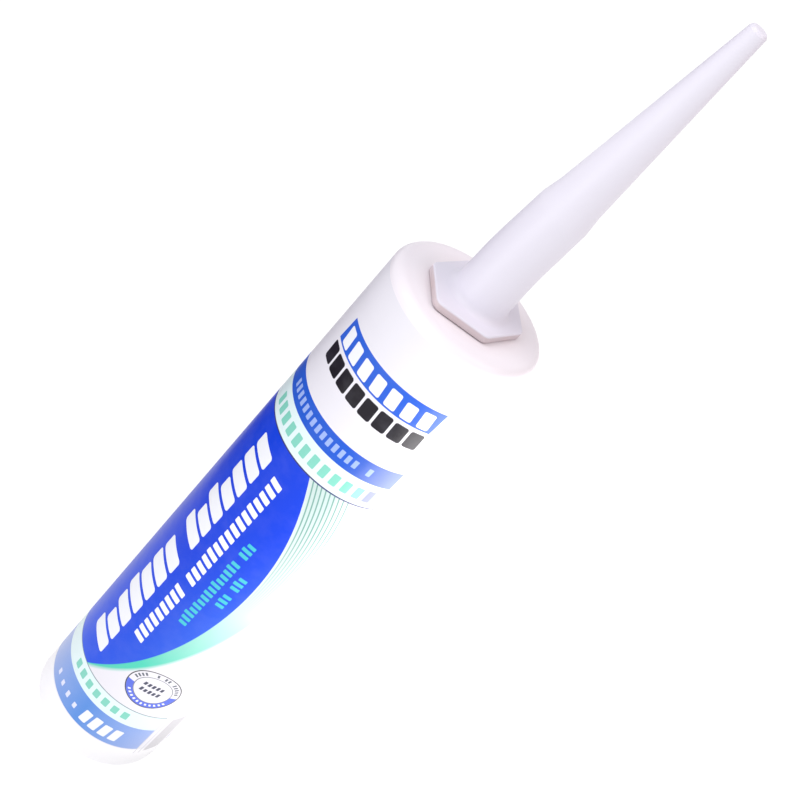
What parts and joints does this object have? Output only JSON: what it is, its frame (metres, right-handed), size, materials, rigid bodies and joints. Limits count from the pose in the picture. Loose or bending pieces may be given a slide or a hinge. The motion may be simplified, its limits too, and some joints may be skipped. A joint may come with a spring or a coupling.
{
  "type": "caulk cartridge",
  "caption": "Caulk tube: an upright sealant cartridge with a tapered screw-on nozzle, a sliding rear piston and a printed blue and white sleeve design.",
  "frame": {"origin": "centre of the barrel's open rear rim, on the surface the cartridge stands on", "axes": "+Z runs along the barrel from the rear rim to the nozzle; +X is the side the spout leans to; -Y is the side of the printed front"},
  "size_m": [0.0494, 0.0494, 0.3205],
  "materials": {
    "barrel_plastic": "white moulded polyethylene with a printed design, satin gloss",
    "nozzle_plastic": "white moulded polyethylene, soft satin",
    "piston_plastic": "natural white soft polyethylene",
    "paste": "white acrylic paste"
  },
  "bodies": {
    "barrel": {"barrel": "barrel_plastic", "sealant": "paste"},
    "nozzle": {"nozzle": "nozzle_plastic"},
    "piston": {"piston": "piston_plastic"}
  },
  "joints": [
    {"name": "nozzle_unscrew", "type": "slide", "parent": "barrel", "child": "nozzle", "axis": [0, 0, 1], "range_m": [0, 0.032]},
    {"name": "piston_push", "type": "slide", "parent": "barrel", "child": "piston", "axis": [0, 0, 1], "range_m": [0, 0.157], "deforming": ["sealant"]}
  ]
}
